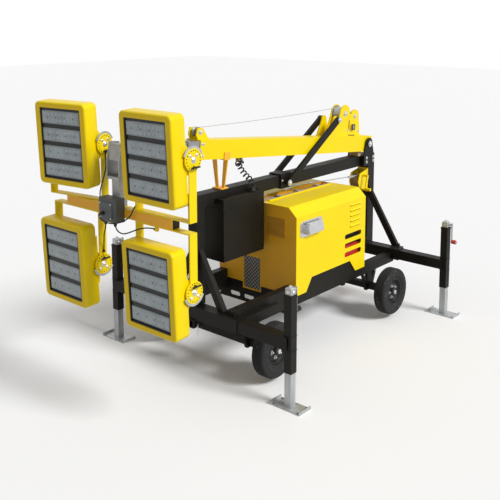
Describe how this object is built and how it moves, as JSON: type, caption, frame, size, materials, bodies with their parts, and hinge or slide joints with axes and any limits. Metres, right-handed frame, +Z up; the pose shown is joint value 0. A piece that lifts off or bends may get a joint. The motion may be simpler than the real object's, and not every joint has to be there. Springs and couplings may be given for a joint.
{
  "type": "mobile light tower",
  "caption": "Towable site light tower on jacks, with an engine canopy, a tilting telescopic mast stowed level and LED floodlights on a crossbar.",
  "frame": {"origin": "floor level, at the centre of the overall length and width", "axes": "+X along the machine to the lamps, +Y to its left, +Z up"},
  "size_m": [3.0933, 1.9, 1.9178],
  "materials": {
    "black_paint": "satin black paint",
    "black_sheet": "satin black sheet",
    "yellow_paint": "gloss yellow paint",
    "lamp_yellow": "gloss yellow paint",
    "grille_metal": "perforated sheet",
    "engine": null,
    "pad": "wear pad",
    "galvanised": "zinc plated",
    "mast_steel": "galvanised tube",
    "grey_plastic": "moulded box",
    "crank_steel": "zinc plated",
    "tyre": "ribbed rubber",
    "rim": "black with bare nuts",
    "latch_chrome": "polished",
    "led_window": "LED strips behind a clear sheet",
    "cable_black": "cable sheath"
  },
  "bodies": {
    "chassis": {"chassis": "black_paint", "skid": "black_paint", "mast_frame": "black_paint", "tow_receiver": "black_paint", "canopy": "yellow_paint", "front_grille": "grille_metal", "engine_block": "engine", "cable_box": "black_sheet", "tilt_winch": "yellow_paint", "rest_fork": "yellow_paint", "mast_pads": "pad", "fittings": "black_paint"},
    "mast_outer": {"mast_outer": "yellow_paint", "mast_winch": "yellow_paint", "cord_coiled": "cable_black"},
    "mast_mid": {"mast_mid": "mast_steel"},
    "mast_inner": {"mast_inner": "mast_steel", "head_bracket": "mast_steel", "crossbar": "yellow_paint", "junction_box": "grey_plastic", "cable_ul": "cable_black", "cable_ur": "cable_black", "cable_ll": "cable_black", "cable_lr": "cable_black"},
    "struts": {"struts": "black_paint"},
    "carriage": {"carriage": "black_paint"},
    "door_left": {"door_left": "yellow_paint", "latch_left": "latch_chrome"},
    "door_right": {"door_right": "yellow_paint", "latch_right": "latch_chrome"},
    "arm_fl": {"arm_fl": "black_paint", "jack_crank_fl": "crank_steel"},
    "leg_fl": {"leg_fl": "galvanised"},
    "wheel_fl": {"tyre_fl": "tyre", "rim_fl": "rim"},
    "arm_fr": {"arm_fr": "black_paint", "jack_crank_fr": "crank_steel"},
    "leg_fr": {"leg_fr": "galvanised"},
    "wheel_fr": {"tyre_fr": "tyre", "rim_fr": "rim"},
    "arm_rl": {"arm_rl": "black_paint", "jack_crank_rl": "crank_steel"},
    "leg_rl": {"leg_rl": "galvanised"},
    "wheel_rl": {"tyre_rl": "tyre", "rim_rl": "rim"},
    "arm_rr": {"arm_rr": "black_paint", "jack_crank_rr": "crank_steel"},
    "leg_rr": {"leg_rr": "galvanised"},
    "wheel_rr": {"tyre_rr": "tyre", "rim_rr": "rim"},
    "lamp_ul": {"lamp_ul": "lamp_yellow", "led_ul": "led_window"},
    "lamp_ur": {"lamp_ur": "lamp_yellow", "led_ur": "led_window"},
    "lamp_ll": {"lamp_ll": "lamp_yellow", "led_ll": "led_window"},
    "lamp_lr": {"lamp_lr": "lamp_yellow", "led_lr": "led_window"}
  },
  "joints": [
    {"name": "outrigger_fl", "type": "slide", "parent": "chassis", "child": "arm_fl", "axis": [0, -1, 0], "range_m": [0, 0.12]},
    {"name": "jack_fl", "type": "slide", "parent": "arm_fl", "child": "leg_fl", "axis": [0, 0, 1], "range_m": [-0.1, 0.17]},
    {"name": "wheel_fl", "type": "hinge", "parent": "chassis", "child": "wheel_fl", "pos_m": [0.517, 0.53, 0.222], "axis": [0, 1, 0], "continuous": true},
    {"name": "outrigger_fr", "type": "slide", "parent": "chassis", "child": "arm_fr", "axis": [0, 1, 0], "range_m": [0, 0.12]},
    {"name": "jack_fr", "type": "slide", "parent": "arm_fr", "child": "leg_fr", "axis": [0, 0, 1], "range_m": [-0.1, 0.17]},
    {"name": "wheel_fr", "type": "hinge", "parent": "chassis", "child": "wheel_fr", "pos_m": [0.517, -0.53, 0.222], "axis": [0, 1, 0], "continuous": true},
    {"name": "outrigger_rl", "type": "slide", "parent": "chassis", "child": "arm_rl", "axis": [0, -1, 0], "range_m": [0, 0.3]},
    {"name": "jack_rl", "type": "slide", "parent": "arm_rl", "child": "leg_rl", "axis": [0, 0, 1], "range_m": [-0.1, 0.17]},
    {"name": "wheel_rl", "type": "hinge", "parent": "chassis", "child": "wheel_rl", "pos_m": [-0.989, 0.53, 0.222], "axis": [0, 1, 0], "continuous": true},
    {"name": "outrigger_rr", "type": "slide", "parent": "chassis", "child": "arm_rr", "axis": [0, 1, 0], "range_m": [0, 0.3]},
    {"name": "jack_rr", "type": "slide", "parent": "arm_rr", "child": "leg_rr", "axis": [0, 0, 1], "range_m": [-0.1, 0.17]},
    {"name": "wheel_rr", "type": "hinge", "parent": "chassis", "child": "wheel_rr", "pos_m": [-0.989, -0.53, 0.222], "axis": [0, 1, 0], "continuous": true},
    {"name": "mast_tilt", "type": "hinge", "parent": "chassis", "child": "mast_outer", "pos_m": [-1.339, 0, 1.345], "axis": [0, -1, 0], "range_deg": [0, 84.13]},
    {"name": "mast_mid_slide", "type": "slide", "parent": "mast_outer", "child": "mast_mid", "axis": [0.9948, 0, 0.1023], "range_m": [0, 1.7]},
    {"name": "mast_inner_slide", "type": "slide", "parent": "mast_mid", "child": "mast_inner", "axis": [0.9948, 0, 0.1023], "range_m": [0, 1.7]},
    {"name": "strut_swing", "type": "hinge", "parent": "mast_outer", "child": "struts", "pos_m": [-0.85295, 0, 1.60407], "axis": [0, -1, 0], "range_deg": [-111.3, 0]},
    {"name": "carriage_slide", "type": "slide", "parent": "chassis", "child": "carriage", "axis": [-1, 0, 0], "range_m": [0, 0.957]},
    {"name": "door_left_hinge", "type": "hinge", "parent": "chassis", "child": "door_left", "pos_m": [0, 0.063, 1.084], "axis": [1, 0, 0], "range_deg": [0, 60]},
    {"name": "door_right_hinge", "type": "hinge", "parent": "chassis", "child": "door_right", "pos_m": [0, -0.063, 1.084], "axis": [-1, 0, 0], "range_deg": [0, 60]},
    {"name": "lamp_ul_tilt", "type": "hinge", "parent": "mast_inner", "child": "lamp_ul", "pos_m": [1.377, 0.406, 1.652], "axis": [0, -1, 0], "range_deg": [-90, 90]},
    {"name": "lamp_ur_tilt", "type": "hinge", "parent": "mast_inner", "child": "lamp_ur", "pos_m": [1.377, -0.406, 1.652], "axis": [0.1392, -0.9903, 0], "range_deg": [-90, 90]},
    {"name": "lamp_ll_tilt", "type": "hinge", "parent": "mast_inner", "child": "lamp_ll", "pos_m": [1.377, 0.406, 0.884], "axis": [0, -1, 0], "range_deg": [-90, 90]},
    {"name": "lamp_lr_tilt", "type": "hinge", "parent": "mast_inner", "child": "lamp_lr", "pos_m": [1.377, -0.406, 0.884], "axis": [0, -1, 0], "range_deg": [-90, 90]}
  ],
  "couplings": [
    {"joint": "mast_inner_slide", "follows": "mast_mid_slide", "ratio": 1},
    {"joint": "strut_swing", "follows": "mast_tilt", "ratio": -1.3226},
    {"joint": "carriage_slide", "follows": "mast_tilt", "m_per_rad": 0.65107}
  ]
}
